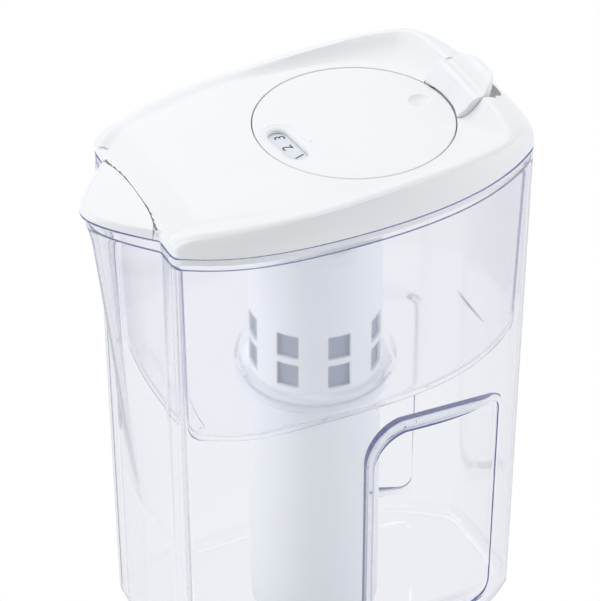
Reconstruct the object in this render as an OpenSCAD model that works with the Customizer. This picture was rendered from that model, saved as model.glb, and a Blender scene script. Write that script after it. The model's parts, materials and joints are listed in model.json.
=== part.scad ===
// Water filter pitcher with a flip fill lid, a spout flap and a lift-out filter cartridge.
// Origin: middle of the resting face. +X points to the rear grip, the spout is at -X, +Z is up.

/* [Jug outline] */
// Front face to the origin
front_len = 74; // [70:0.5:80]
// Rear-most point to the origin
rear_len = 95; // [92:0.1:102]
// How far the spout tip stands ahead of the front face
spout_reach = 20; // [14:0.1:26]
// Half the width of the spout where it leaves the front face
spout_half = 29.4; // [24:0.1:34]
// Half the width of the flat front face
shoulder_half = 39; // [37:0.5:42]
// Half the width of the jug at its widest
side_half = 57.8; // [55:0.2:62]
// Half the width between the two rear corners
rear_corner_half = 31.4; // [26:0.2:36]
// Angle at which the sides leave the front corners
front_flare = 30; // [20:1:40]

/* [Jug body] */
// Height of the jug's rim
rim_z = 236; // [226:1:250]
// Thickness of the jug's clear wall
wall = 2.4; // [1.8:0.1:3]
// Thickness of the jug's floor
floor_t = 3; // [2:0.2:5]
// How far the walls lean in from the rim to the base
draft = 2.4; // [0:0.1:4]
// Radius of the edge around the base
base_r = 6; // [3:0.5:9]
// Depth below the rim at which the spout's keel has faded out
spout_drop = 155; // [120:1:180]
// How far the pouring lip juts out beyond the keel
lip_reach = 2.9; // [0:0.1:5]
// Depth below the rim at which that lip begins
lip_drop = 20; // [10:1:40]
// Depth of the ledge inside the rim that carries the hopper
ledge_depth = 6; // [5:0.2:9]
// Width of that ledge
ledge_w = 1.2; // [0.8:0.1:1.5]

/* [Side grips] */
// Front edge of the grip recess
grip_front_x = 8.5; // [2:0.5:12]
// Rear edge of the grip recess
grip_rear_x = 74; // [66:0.5:75]
// Top edge of the grip recess
grip_top_z = 129; // [120:0.5:137]
// Drop of the recess's top edge towards the rear
grip_top_drop = 7; // [0:0.5:9]
// Bottom edge of the grip recess
grip_bottom_z = 14; // [12:0.5:40]
// Radius of the recess's front corners
grip_front_r = 15; // [6:0.5:20]
// Radius of the recess's rear corners
grip_rear_r = 7; // [4:0.5:12]
// Half width of the jug between the recess floors, at their front edge
grip_half_front = 50; // [47:0.5:53]
// Half width of the jug between the recess floors, at their rear edge
grip_half_rear = 39.4; // [39:0.1:45]

/* [Hopper] */
// Gap between the jug's wall and the hopper
hopper_gap = 1.4; // [1:0.1:3]
// Thickness of the hopper's wall
hopper_wall = 1.8; // [1.4:0.1:2.4]
// Height of the underside of the hopper's floor
hopper_floor_z = 139; // [136:0.5:160]
// Thickness of the hopper's rim flange
hopper_flange_t = 2; // [1.5:0.1:3]
// How far the hopper's walls lean in towards its floor
hopper_draft = 2.4; // [1:0.2:6]
// Radius of the edge around the hopper's floor
hopper_r = 9; // [6:0.5:16]
// How much further out than the cartridge the seat's well reaches
sump_w = 6.2; // [5:0.1:8]
// Height of the underside of the well's floor
sump_z = 131.5; // [126:0.5:138]

/* [Filter cartridge] */
// Cartridge axis from the origin
filter_x = 6.5; // [2:0.5:10]
// Outer radius of the cartridge
filter_r = 27.6; // [25:0.1:28.4]
// Wall of the cartridge's lower housing
filter_wall = 1.8; // [1.2:0.1:2.6]
// Height of the cartridge's lowest face
filter_bottom_z = 10; // [6:0.5:20]
// Top of the windowed cage
cage_top_z = 172; // [166:0.5:180]
// Top of the cartridge's smooth head
head_top_z = 206; // [196:0.5:212]
// Height of one cage window
window_h = 11.6; // [8:0.2:13]
// Angle that one cage window spans
window_deg = 20; // [12:1:28]
// Windows in one row
window_count = 8; // [6:1:10]
// Turn of the windows from the centre line
cage_turn = -3; // [-22:1:22]

/* [Lid] */
// Gap between the jug's rim and the lid
seat_gap = 0.3; // [0.2:0.05:0.5]
// Height of the lid's upright skirt at the sides
skirt_h = 4.8; // [3:0.2:6]
// Height of the lid's deck above the rim
deck_h = 12; // [10:0.5:14]
// Height of the ridge above the deck at the rear
ridge_h = 8; // [5:0.5:9]
// How much lower the ridge is at its rear corners than behind the dial
corner_drop = 1.8; // [0:0.1:3]
// Thickness of the lid's shell
lid_wall = 2.2; // [1.8:0.1:2.6]
// Drop of the deck from the fill opening to its front crease
deck_drop = 3; // [2:0.2:4]
// Thickness of the tray under the lid
tray_t = 1.7; // [1.2:0.1:2]
// Depth of the tray's plug ring inside the jug's rim
plug_depth = 2.2; // [1.4:0.1:3]

/* [Spout flap] */
// Distance of the flap's hinge pin behind the front face
flap_pin_x = 0.8; // [0.6:0.1:1.2]
// Height of the flap's hinge pin above the lid's lower face
flap_pin_h = 2.2; // [1.9:0.05:2.3]
// Radius of the flap's hinge pin
flap_pin_r = 0.7; // [0.5:0.05:0.8]
// Width of the shut line around the flap
flap_gap = 0.3; // [0.2:0.05:0.5]

/* [Flip lid and dial] */
// Centre of the round flip lid from the origin
fill_x = 24; // [22:0.5:25]
// Radius of the dial that covers the fill opening
dial_r = 41; // [38:0.2:41.4]
// Thickness of the dial
dial_t = 2; // [1.6:0.1:2.6]
// Width of the groove around the dial
groove = 0.6; // [0.4:0.1:1]
// How far the dial is turned from the centre line
dial_turn = 6.4; // [0:0.1:15]
// Distance of the number window from the dial's centre
window_at = 31; // [28:0.5:32]
// Length of the number window, end arc to end arc
window_len = 15; // [10:0.5:18]
// Width of the number window
window_w = 8.4; // [6:0.2:10]
// Radius of the finger dimple's rim
dimple_r = 4.8; // [3:0.2:6]
// Depth of the finger dimple
dimple_depth = 1.1; // [0.6:0.1:1.4]
// Radius of the stud that the dial turns on
stud_r = 4; // [3:0.1:5]
// Thickness of the number plate
plate_t = 0.9; // [0.7:0.1:1.2]
// Thickness of the flip lid's frame
frame_t = 2; // [1.6:0.1:2.4]
// Running clearance of pins and studs, on the radius
run_gap = 0.1; // [0.05:0.01:0.15]

/* [Thumb lever] */
// Flip lid hinge pin from the origin
hinge_x = 74; // [73:0.1:75]
// Flip lid hinge pin below the top of the ridge
hinge_down = 5; // [4.8:0.1:6]
// Radius of that hinge pin
hinge_pin_r = 1.5; // [1:0.1:1.6]
// Half the width of the thumb lever
lever_half = 16.4; // [14:0.2:17]
// Reach of the lever behind its pin
lever_reach = 10; // [9:0.1:11]
// Height of the lever's tip above its pin
lever_rise = 8.7; // [7.5:0.1:9]
// Radius of the lever's rounded end, seen from above
lever_round_r = 17; // [16.5:0.1:19]
// Gap on each side of the lever
lever_gap = 0.5; // [0.3:0.1:0.8]

/* [Hidden] */
$fn = 64;
eps = 0.01;

// Points of one Bezier stretch, without its last point. Works in 2-D and 3-D.
function bezier(a, b, c, d, steps) = [for (i = [0:steps - 1]) let (t = i / steps, s = 1 - t)
    s * s * s * a + 3 * s * s * t * b + 3 * s * t * t * c + t * t * t * d];
function unit(v) = v / norm(v);
function flat(p) = [p.x, p.y];
function mix(a, b, t) = a + (b - a) * t;

// A half outline runs from the spout tip over +Y to the rear. The full loop adds its mirror image.
function full_loop(half) = concat(half, [for (i = [len(half) - 2:-1:1])
    [for (k = [0:len(half[i]) - 1]) k == 1 ? -half[i][k] : half[i][k]]]);

// Moves each point of a smooth loop inward by d, square to the loop.
function inset(loop, d) = [for (i = [0:len(loop) - 1])
    let (last = len(loop), along = unit(loop[(i + 1) % last] - loop[(i + last - 1) % last]))
    loop[i] + d * [along.y, -along.x]];
function at_z(loop, z) = [for (p = loop) [p.x, p.y, z]];

// The front face bows forward by this much where there is no spout.
front_bow = 0.5;

// Steps of each stretch of the outline. Every ring of a loft has the same number of points.
nose_steps = 6;
corner_steps = 4;
side_front_steps = 6;
side_rear_steps = 7;
stern_steps = 5;

// Jug outline at the rim. Its control points stand for the spout's round nose, the fold where its side
// meets the front face, the front corner, the widest place and the stern.
nose_handle = 8;
nose_side = [0.49, 10.2];
fold_in = 1.2;
corner_start = [1.4 - front_len, shoulder_half];
corner_end = [4 - front_len, shoulder_half + 4.9];
widest = [-5, side_half];
stern = [rear_len - 6.4, rear_corner_half];
flare_dir = [cos(front_flare), sin(front_flare)];
stern_dir = [cos(40), -sin(40)];
corner_handle = 2.4;
flare_handle = 19;
widest_front_handle = 32;
widest_rear_handle = 43;
stern_front_handle = 28.5;
stern_rear_handle = 7;
rear_handle = 14;

// The jug outline moved inward by d. Every control point moves square to its own stretch, so the
// corners keep their shape and never fold over.
function jug_half(reach, d) = let (
        side = [nose_side.x * (reach + fold_in), nose_side.y],
        slant = norm(side),
        tip = [d - front_len - reach, 0],
        fold = [fold_in + d - front_len, spout_half - d * side.x / (slant + side.y)],
        corner_move = d * [1, -tan(45 - front_flare / 2)],
        a = corner_start + corner_move, b = corner_end + corner_move,
        w = widest - [0, d], s = stern - d * [stern_dir.x, -stern_dir.y],
        rear = [rear_len - d, 0]) concat(
    bezier(tip, tip + [0, nose_handle], fold - side * (1 - 0.05 * d), fold, nose_steps),
    [fold, mix(fold, a, 0.6)],
    bezier(a, a + [0.5, corner_handle], b - flare_dir * corner_handle, b, corner_steps),
    bezier(b, b + flare_dir * flare_handle, w - [widest_front_handle, 0], w, side_front_steps),
    bezier(w, w + [widest_rear_handle, 0], s - stern_dir * stern_front_handle, s, side_rear_steps),
    bezier(s, s + stern_dir * stern_rear_handle, rear + [0, rear_handle], rear, stern_steps),
    [rear]);
function jug_loop(reach, d) = full_loop(jug_half(reach, d));

// How far the spout stands out at a height, and how far the wall leans in there.
function reach_at(z) = front_bow
    + (spout_reach - lip_reach - front_bow) * max(0, 1 - (rim_z - z) / spout_drop)
    + lip_reach * pow(max(0, 1 - (rim_z - z) / lip_drop), 2);
function lean_at(z) = draft * (rim_z - z) / rim_z;
function edge_at(z, r) = z >= r ? 0 : r - sqrt(r * r - (r - z) * (r - z));
function jug_ring(z, reach, d) = at_z(jug_loop(reach, d), z);
function jug_outer(z) = jug_ring(z, reach_at(z), lean_at(z) + edge_at(z, base_r));
function jug_inner(z, t) = jug_ring(z, reach_at(z), lean_at(z) + t + edge_at(z - floor_t, base_r - wall));

// Closed solid through rings of equal length. Both ends are ruled from side to side, so they may
// curve along X.
module loft(rings) {
    n = len(rings[0]);
    m = len(rings);
    h = n / 2;
    top = (m - 1) * n;
    polyhedron(
        points = [for (r = rings, p = r) p],
        faces = concat(
            [[0, n - 1, 1]],
            [for (i = [1:h - 2]) [i, n - i, i + 1]],
            [for (i = [1:h - 2]) [i + 1, n - i, n - i - 1]],
            [[h - 1, h + 1, h]],
            [for (k = [0:m - 2], i = [0:n - 1]) [k * n + i, (k + 1) * n + (i + 1) % n, (k + 1) * n + i]],
            [for (k = [0:m - 2], i = [0:n - 1])
                [k * n + i, k * n + (i + 1) % n, (k + 1) * n + (i + 1) % n]],
            [[top, top + 1, top + n - 1]],
            [for (i = [1:h - 2]) [top + i, top + i + 1, top + n - i]],
            [for (i = [1:h - 2]) [top + i + 1, top + n - i - 1, top + n - i]],
            [[top + h - 1, top + h, top + h + 1]]),
        convexity = 8);
}

// A block whose section in the XZ plane is a polygon, centred on the middle plane.
module across(points, half) {
    translate([0, half, 0]) rotate([90, 0, 0]) linear_extrude(height = 2 * half) polygon(points);
}
module pin_y(x, z, r, half) {
    translate([x, half, z]) rotate([90, 0, 0]) cylinder(h = 2 * half, r = r);
}
module tube(r_out, r_in, z_low, z_high) {
    rotate_extrude() translate([r_in, z_low]) square([r_out - r_in, z_high - z_low]);
}
module both_sides() {
    children();
    mirror([0, 1, 0]) children();
}

/* ---- Jug ---- */

// Grip recess: a rounded window pushed in from the side to a flat floor. grow widens it all round.
grip_run = grip_rear_x - grip_front_x;
grip_yaw = atan((grip_half_front - grip_half_rear) / grip_run);
grip_length = grip_run / cos(grip_yaw);
module grip_outline(grow) {
    fr = grip_front_r + grow;
    rr = grip_rear_r + grow;
    low = grip_bottom_z - grow;
    high = grip_top_z + grow;
    hull() {
        translate([fr - grow, low + fr]) circle(r = fr, $fn = 32);
        translate([fr - grow, high - fr]) circle(r = fr, $fn = 32);
        translate([grip_length - rr + grow, low + rr]) circle(r = rr, $fn = 32);
        translate([grip_length - rr + grow, high - grip_top_drop - rr]) circle(r = rr, $fn = 32);
    }
}
module grip_cut(grow) {
    both_sides()
        translate([grip_front_x, grip_half_front, 0]) rotate([0, 0, -grip_yaw])
            translate([0, 30, 0]) rotate([90, 0, 0]) linear_extrude(height = 30 + grow) grip_outline(grow);
}
module jug_body() {
    ledge_z = rim_z - ledge_depth;
    spout_z = concat([for (k = [0.3, 0.6]) mix(rim_z - spout_drop, rim_z - lip_drop, k)],
        [for (k = [1, 0.62, 0.32]) rim_z - k * lip_drop]);
    low_z = [rim_z - spout_drop];
    color("aliceblue", 0.35) difference() {
        loft(concat([for (z = [0, 1.5, base_r]) jug_outer(z)],
            [for (z = concat(low_z, spout_z)) jug_outer(z)], [jug_outer(rim_z)]));
        grip_cut(0);
        difference() {
            loft(concat([for (z = [floor_t, base_r]) jug_inner(z, wall)],
                [for (z = concat(low_z, spout_z)) jug_inner(z, wall)],
                [jug_inner(ledge_z, wall), jug_inner(ledge_z + 0.1, wall - ledge_w),
                    jug_inner(rim_z + 1, wall - ledge_w)]));
            grip_cut(wall);
        }
    }
}

/* ---- Hopper ---- */

ledge_top = rim_z - ledge_depth;
flange_inset = wall - ledge_w + 0.35;
hopper_inset = wall + hopper_gap;
hopper_lean = hopper_draft / (ledge_top - hopper_floor_z);
function hopper_ring(z, d) = jug_ring(z, front_bow, hopper_inset + d + hopper_lean * (ledge_top - z));
sump_floor_t = 2;
sump_wall = 1.8;
filter_hole_r = filter_r + 1;
sump_r = filter_r + sump_w;
module hopper() {
    top = ledge_top + 0.2 + hopper_flange_t;
    floor_low = hopper_floor_z;
    floor_in = hopper_floor_z + hopper_wall;
    color("ghostwhite", 0.4) difference() {
        union() {
            loft([hopper_ring(floor_low, hopper_r), hopper_ring(floor_low + 0.13 * hopper_r, hopper_r / 2),
                hopper_ring(floor_low + 0.5 * hopper_r, 0.13 * hopper_r), hopper_ring(floor_low + hopper_r, 0),
                hopper_ring(top - hopper_flange_t, 0), jug_ring(top - hopper_flange_t + 0.2, front_bow, flange_inset),
                jug_ring(top, front_bow, flange_inset)]);
            translate([filter_x, 0, sump_z]) cylinder(h = floor_in - sump_z, r = sump_r);
        }
        loft([hopper_ring(floor_in, hopper_r), hopper_ring(floor_in + 0.13 * hopper_r, hopper_r / 2 + hopper_wall),
            hopper_ring(floor_in + 0.5 * hopper_r, 0.13 * hopper_r + hopper_wall),
            hopper_ring(floor_in + hopper_r, hopper_wall), hopper_ring(top + 1, hopper_wall)]);
        translate([filter_x, 0, sump_z + sump_floor_t]) cylinder(h = 2 * (floor_in - sump_z), r = sump_r - sump_wall);
        translate([filter_x, 0, sump_z - 1]) cylinder(h = sump_floor_t + 2, r = filter_hole_r);
    }
}
seat_z = sump_z + sump_floor_t;
gasket_t = 0.8;
module seat_gasket() {
    color("lightsteelblue") translate([filter_x, 0, 0])
        tube(sump_r - sump_wall - 0.4, filter_hole_r + 0.2, seat_z, seat_z + gasket_t);
}

/* ---- Filter cartridge, drawn about its own axis ---- */

collar_z = seat_z + gasket_t;
collar_t = 2.6;
collar_r = sump_r - sump_wall - 1.2;
cage_z = collar_z + collar_t;
inner_r = filter_r - filter_wall;
o_ring_r = 0.8;
outlet_flange_t = 3;
plug_top_z = filter_bottom_z + outlet_flange_t + 2;
potting_t = 6;
bed_z = filter_bottom_z + 70;
divider_t = 2;
fill_gap = 0.25;
carbon_h = cage_z + 8 - bed_z;
cage_wall = 1.4;
screen_t = 0.4;
module on_filter_axis() {
    translate([filter_x, 0, 0]) children();
}
// Two rings of round holes that let the water through.
flow_hole_r = 2;
module flow_holes(z) {
    for (ring = [[8, 6], [16, 12]], i = [0:ring[1] - 1])
        rotate([0, 0, i * 360 / ring[1]]) translate([ring[0], 0, z]) cylinder(h = 12, r = flow_hole_r, $fn = 24);
}
o_ring_z = collar_z - 2;
o_ring_groove = o_ring_r + 0.2;
module cartridge_housing() {
    low = filter_bottom_z + outlet_flange_t;
    color("white") on_filter_axis() rotate_extrude() polygon([
        [inner_r, low], [filter_r, low], [filter_r, o_ring_z - o_ring_groove],
        [filter_r - o_ring_groove, o_ring_z - o_ring_groove], [filter_r - o_ring_groove, o_ring_z + o_ring_groove],
        [filter_r, o_ring_z + o_ring_groove], [filter_r, collar_z], [collar_r, collar_z],
        [collar_r, cage_z], [inner_r, cage_z]]);
}
module cartridge_o_ring() {
    color("lightsteelblue") on_filter_axis() rotate_extrude()
        translate([filter_r - 0.15, o_ring_z]) circle(r = o_ring_r, $fn = 24);
}
module cartridge_cage() {
    rib = 3;
    rows = [cage_z + rib, cage_z + rib + window_h + rib];
    chord = 2 * filter_r * sin(window_deg / 2);
    color("white") on_filter_axis() difference() {
        tube(filter_r, filter_r - cage_wall, cage_z, cage_top_z);
        for (i = [0:window_count - 1], z = rows)
            rotate([0, 0, cage_turn + i * 360 / window_count])
                translate([filter_r - 5, -chord / 2, z]) cube([10, chord, window_h]);
    }
}
module cartridge_screen() {
    color("slategray") on_filter_axis()
        tube(filter_r - cage_wall - 0.1, filter_r - cage_wall - 0.1 - screen_t, cage_z + 0.2, cage_top_z - 0.2);
}
module cartridge_cap() {
    shoulder = 6;
    color("white") on_filter_axis() difference() {
        union() {
            rotate_extrude() polygon([[0, head_top_z - 2], [filter_r - 4, head_top_z - 2],
                [filter_r - 1.6, head_top_z - shoulder - 2], [filter_r - cage_wall, cage_top_z],
                [filter_r, cage_top_z], [filter_r, head_top_z - shoulder],
                [filter_r - 2, head_top_z - 1.5], [filter_r - 5, head_top_z], [0, head_top_z]]);
            across([[-15, head_top_z - 1], [-13, head_top_z + 8], [13, head_top_z + 8], [15, head_top_z - 1]], 2.2);
        }
        pin_y(0, head_top_z + 3.4, 2.6, 10);
    }
}
module carbon_bed() {
    color("dimgray") on_filter_axis()
        translate([0, 0, bed_z]) cylinder(h = carbon_h, r = inner_r - fill_gap);
}
module bed_divider() {
    color("white") on_filter_axis() difference() {
        translate([0, 0, bed_z - divider_t]) cylinder(h = divider_t, r = inner_r - fill_gap);
        flow_holes(bed_z - divider_t - 1);
    }
}
module fiber_bundle() {
    low = plug_top_z + potting_t;
    color("ivory") on_filter_axis()
        translate([0, 0, low]) cylinder(h = bed_z - divider_t - low, r = inner_r - 1);
}
module potting_disc() {
    color("wheat") on_filter_axis()
        translate([0, 0, plug_top_z]) cylinder(h = potting_t, r = inner_r - fill_gap);
}
module outlet_plate() {
    color("white") on_filter_axis() difference() {
        union() {
            translate([0, 0, filter_bottom_z]) cylinder(h = outlet_flange_t, r = filter_r);
            translate([0, 0, filter_bottom_z]) cylinder(h = plug_top_z - filter_bottom_z, r = inner_r - fill_gap);
        }
        flow_holes(filter_bottom_z - 1);
    }
}

/* ---- Lid ---- */

lid_z = rim_z + seat_gap;
deck_z = rim_z + deck_h;
crest_z = deck_z + ridge_h;
crease_z = deck_z - deck_drop;
flap_z = lid_z + 3.7;
tip_z = lid_z + 1.7;

// The ridge's top, from the spout tip over +Y to the rear: its outer edge, then its inner edge. It starts
// low at the front corners and is full height at the rear.
nose = front_len + spout_reach;
lead = nose_steps + 1;
function lead_points(d, lift) = let (p = jug_half(spout_reach, d))
    [for (i = [0:lead]) [p[i].x, p[i].y, mix(tip_z, flap_z, min(1, i / nose_steps)) + lift]];
corner_z = crest_z - corner_drop;
ridge_out_half = concat(
    lead_points(1, -0.3),
    bezier([2 - front_len, 36.5, flap_z + 0.2], [2.5 - front_len, 40, flap_z + 1.3],
        [7 - front_len, 42.6, flap_z + 2.9], [11.5 - front_len, side_half - 13.6, flap_z + 3.9], corner_steps),
    bezier([11.5 - front_len, side_half - 13.6, flap_z + 3.9], [20 - front_len, side_half - 9.3, deck_z - 3],
        [-30, side_half - 2.9, deck_z - 0.7], [-5, side_half - 2.8, deck_z + 0.6], side_front_steps),
    bezier([-5, side_half - 2.8, deck_z + 0.6], [20, side_half - 2.7, deck_z + 2.9],
        [53, side_half - 1.9, corner_z - 1], [69.5, 48.5, corner_z - 0.6], side_rear_steps),
    bezier([69.5, 48.5, corner_z - 0.6], [75, 45.8, corner_z - 0.2], [77, 38, crest_z - 0.8],
        [77, 0, crest_z - 0.4], stern_steps),
    [[77, 0, crest_z - 0.4]]);
crest_half = concat(
    lead_points(2.4, 0.1),
    bezier([4 - front_len, 34.3, flap_z + 0.6], [5 - front_len, 37, flap_z + 1.9],
        [9.5 - front_len, 39, flap_z + 3.9], [14 - front_len, side_half - 17, flap_z + 4.8], corner_steps),
    bezier([14 - front_len, side_half - 17, flap_z + 4.8], [22 - front_len, side_half - 13.6, deck_z - 2.1],
        [-30, side_half - 6.9, deck_z - 0.1], [-5, side_half - 6.9, deck_z + 1.3], side_front_steps),
    bezier([-5, side_half - 6.9, deck_z + 1.3], [20, side_half - 6.8, deck_z + 3.6],
        [50, side_half - 6, corner_z - 0.4], [66, 45.5, corner_z], side_rear_steps),
    bezier([66, 45.5, corner_z], [71, 42.6, corner_z + 0.4], [73.2, 36, crest_z - 0.4], [73, 0, crest_z], stern_steps),
    [[73, 0, crest_z]]);

// Foot of the ridge's inner slope, where the deck begins.
foot_half = concat(
    lead_points(3.4, 0.2),
    bezier([6 - front_len, 32, flap_z + 1.2], [9 - front_len, 33.5, crease_z - 2.6], [12 - front_len, 34.2, crease_z - 1.2],
        [16 - front_len, 35, crease_z], corner_steps),
    bezier([16 - front_len, 35, crease_z], [-40, 39.5, crease_z + 1.5], [-22, 44.5, deck_z], [-5, 45.5, deck_z],
        side_front_steps),
    bezier([-5, 45.5, deck_z], [15, 47, deck_z], [42, 44, deck_z], [55, 32, deck_z], side_rear_steps),
    bezier([55, 32, deck_z], [59.5, 26.5, deck_z], [64, 14, deck_z], [64, 0, deck_z], stern_steps),
    [[64, 0, deck_z]]);

// Height of the upright skirt at each point: thin along the spout, full along the sides.
function skirt_at(i) = skirt_h * (i <= nose_steps ? 0.22 : min(0.85, 0.25 + 0.15 * (i - nose_steps)));
function loop_index(i, n) = min(i, n - i);
flank_bulge = 0.08;
module lid_form() {
    edge = jug_loop(spout_reach, 0);
    skirt = jug_loop(spout_reach, 0.3);
    ridge_out = full_loop(ridge_out_half);
    n = len(edge);
    skirt_ring = [for (i = [0:n - 1]) [skirt[i].x, skirt[i].y, lid_z + skirt_at(loop_index(i, n))]];
    loft([
        at_z(edge, lid_z),
        skirt_ring,
        [for (i = [0:n - 1]) mix(skirt_ring[i], ridge_out[i], 0.55) + flank_bulge * [0, 0, norm(ridge_out[i] - skirt_ring[i])]],
        ridge_out,
        full_loop(crest_half),
        full_loop(foot_half)]);
}
// The hollow under the deck stops at the crease, so the nose of the lid stays solid.
hollow_front_x = 12 - front_len;
function behind_nose(ring) = [for (p = ring) [max(p.x, hollow_front_x + 0.001 * abs(p.y)), p.y, p.z]];
module lid_hollow() {
    edge = jug_loop(front_bow, lid_wall);
    crest = full_loop(crest_half);
    foot = full_loop(foot_half);
    crest_in = inset([for (p = crest) flat(p)], lid_wall * 0.8);
    foot_in = inset([for (p = foot) flat(p)], 0.6);
    n = len(edge);
    loft([
        behind_nose(at_z(edge, lid_z - 1)),
        behind_nose(at_z(edge, lid_z + skirt_h * 0.6)),
        behind_nose([for (i = [0:n - 1])
            [crest_in[i].x, crest_in[i].y, max(crest[i].z - lid_wall * 1.25, lid_z + skirt_h * 0.7)]]),
        behind_nose([for (i = [0:n - 1])
            [foot_in[i].x, foot_in[i].y, max(foot[i].z - lid_wall, lid_z + skirt_h * 0.75)]])]);
}

module on_dial_axis() {
    translate([fill_x, 0, 0]) children();
}
well_r = dial_r + groove;
sleeve_t = 2;
ledge_t = 2;
dial_z = deck_z - dial_t;
plate_z = dial_z - 0.2 - plate_t;
frame_z = plate_z - frame_t;
sleeve_z = frame_z - 0.1 - ledge_t;
well_ledge_w = 3.2;
throat_r = well_r - well_ledge_w;
collar_wall = 2;
lever_slot_half = lever_half + lever_gap;
pocket_wall = 1.6;
pocket_front_x = hinge_x - 17;
hinge_z = crest_z - hinge_down;
lever_sweep = norm([lever_reach - 0.4, lever_rise - 1.1]);
scoop_r = lever_sweep + 0.2;
scoop_t = 1.7;
pin_x = flap_pin_x - front_len;
pin_z = lid_z + flap_pin_h;
shut_x = 3.6 - front_len;
// Plan of the gap in the lid that the spout flap fills. Its rear edge bows towards the deck. grow widens it.
module flap_plan(grow) {
    far = -nose - 5;
    last = [-front_len - 0.6 + grow, spout_half - 2.6 + grow];
    rear = bezier([shut_x + grow, 0], [shut_x + grow, 13], [shut_x - 1.3 + grow, spout_half - 7 + grow], last, 8);
    half = concat(rear, [last, last + [-4, 5], [far, spout_half + 6]]);
    polygon(concat([for (p = half) p], [for (i = [len(half) - 1:-1:1]) [half[i].x, -half[i].y]]));
}
// Room for the flap to swing: half lengths and radii about its pin.
flap_swing = [[13, 3.4], [17, 3.05], [21, 2.5], [24, 2], [27.2, 2.2]];
flap_barrel_r = 1.4;
flap_barrel_half = 20;
flap_pin_half = spout_half - 1.4;
boss_r = 3.3;
boss_len = 6.4;
hinge_pin_len = 5;
module lid_shell() {
    color("white") difference() {
        union() {
            difference() {
                lid_form();
                lid_hollow();
            }
            intersection() {
                lid_form();
                union() {
                    translate([pocket_front_x, -lever_slot_half - pocket_wall, sleeve_z])
                        cube([hinge_x - pocket_front_x, 2 * (lever_slot_half + pocket_wall), 40]);
                    pin_y(hinge_x, hinge_z, scoop_r + scoop_t, lever_slot_half + pocket_wall);
                    pin_y(hinge_x, hinge_z, boss_r, lever_slot_half + boss_len);
                }
            }
            on_dial_axis() tube(well_r + sleeve_t, well_r, sleeve_z, deck_z - 1);
            on_dial_axis() tube(well_r + sleeve_t, throat_r, sleeve_z, sleeve_z + ledge_t);
        }
        on_dial_axis() translate([0, 0, sleeve_z + ledge_t]) cylinder(h = 30, r = well_r);
        on_dial_axis() translate([0, 0, lid_z - 1]) cylinder(h = 12, r = throat_r);
        pin_y(hinge_x, hinge_z, scoop_r, lever_slot_half);
        translate([pocket_front_x, -lever_slot_half, sleeve_z + ledge_t])
            cube([hinge_x - pocket_front_x, 2 * lever_slot_half, 40]);
        pin_y(hinge_x, hinge_z, hinge_pin_r, lever_slot_half + hinge_pin_len);
        translate([0, 0, lid_z - 1]) linear_extrude(height = 20) flap_plan(flap_gap / 2);
        for (swing = flap_swing) pin_y(pin_x, pin_z, swing[1], swing[0]);
        pin_y(pin_x, pin_z, flap_pin_r, flap_pin_half);
    }
}
plug_inset = wall - ledge_w + 0.4;
collar_depth = 6;
module lid_tray() {
    color("white") difference() {
        union() {
            translate([0, 0, lid_z - tray_t]) linear_extrude(height = tray_t) polygon(jug_loop(front_bow, plug_inset));
            translate([0, 0, lid_z - tray_t - plug_depth]) linear_extrude(height = plug_depth + eps)
                difference() {
                    polygon(jug_loop(front_bow, plug_inset));
                    polygon(jug_loop(front_bow, plug_inset + 1.8));
                }
        }
        on_dial_axis() translate([0, 0, lid_z - 20]) cylinder(h = 40, r = throat_r);
    }
}
// Funnel ring for the tap water. Its flange lies on the tray.
collar_flange = 2.4;
collar_flange_t = 1.2;
module fill_collar() {
    color("white") on_dial_axis() {
        tube(throat_r - run_gap, throat_r - collar_wall, lid_z - tray_t - collar_depth, sleeve_z + ledge_t);
        tube(throat_r + collar_flange, throat_r - collar_wall / 2, lid_z, lid_z + collar_flange_t);
    }
}

/* ---- Spout flap ---- */

module flap_pin() {
    color("gainsboro") pin_y(pin_x, pin_z, flap_pin_r, flap_pin_half);
}
module spout_flap() {
    skin = 0.9;
    color("white") difference() {
        union() {
            difference() {
                intersection() {
                    lid_form();
                    translate([0, 0, lid_z - 1]) linear_extrude(height = 20) flap_plan(-flap_gap / 2);
                }
                translate([pin_x, -40, lid_z - 1]) cube([10, 80, flap_z - skin - lid_z + 1]);
            }
            pin_y(pin_x, pin_z, flap_barrel_r, flap_barrel_half);
        }
        pin_y(pin_x, pin_z, flap_pin_r + run_gap, spout_half);
    }
}

/* ---- Flip lid ---- */

rim_t = 1.7;
module turned() {
    on_dial_axis() rotate([0, 0, dial_turn]) children();
}
module flip_pin() {
    color("gainsboro") pin_y(hinge_x, hinge_z, hinge_pin_r, lever_slot_half + hinge_pin_len);
}
module flip_frame() {
    bridge_x = fill_x + dial_r + 1.3;
    color("white") difference() {
        union() {
            on_dial_axis() translate([0, 0, frame_z]) cylinder(h = frame_t, r = dial_r - 0.1);
            on_dial_axis() tube(dial_r - 0.1, dial_r - 0.1 - rim_t, plate_z - eps, plate_z + plate_t);
            across([[bridge_x - 6, frame_z], [bridge_x + 2, frame_z], [hinge_x - 1, frame_z + 1.6],
                [hinge_x - 1, hinge_z - 4.1], [hinge_x - 3.5, hinge_z - 3.4], [bridge_x, hinge_z - 2.7],
                [bridge_x, plate_z + plate_t], [bridge_x - 3, plate_z + plate_t], [bridge_x - 3, plate_z - 0.1],
                [bridge_x - 6, plate_z - 0.1]], 12);
        }
        on_dial_axis() translate([0, 0, frame_z - 1]) cylinder(h = frame_t + 2, r = stud_r + run_gap);
    }
}
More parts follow.
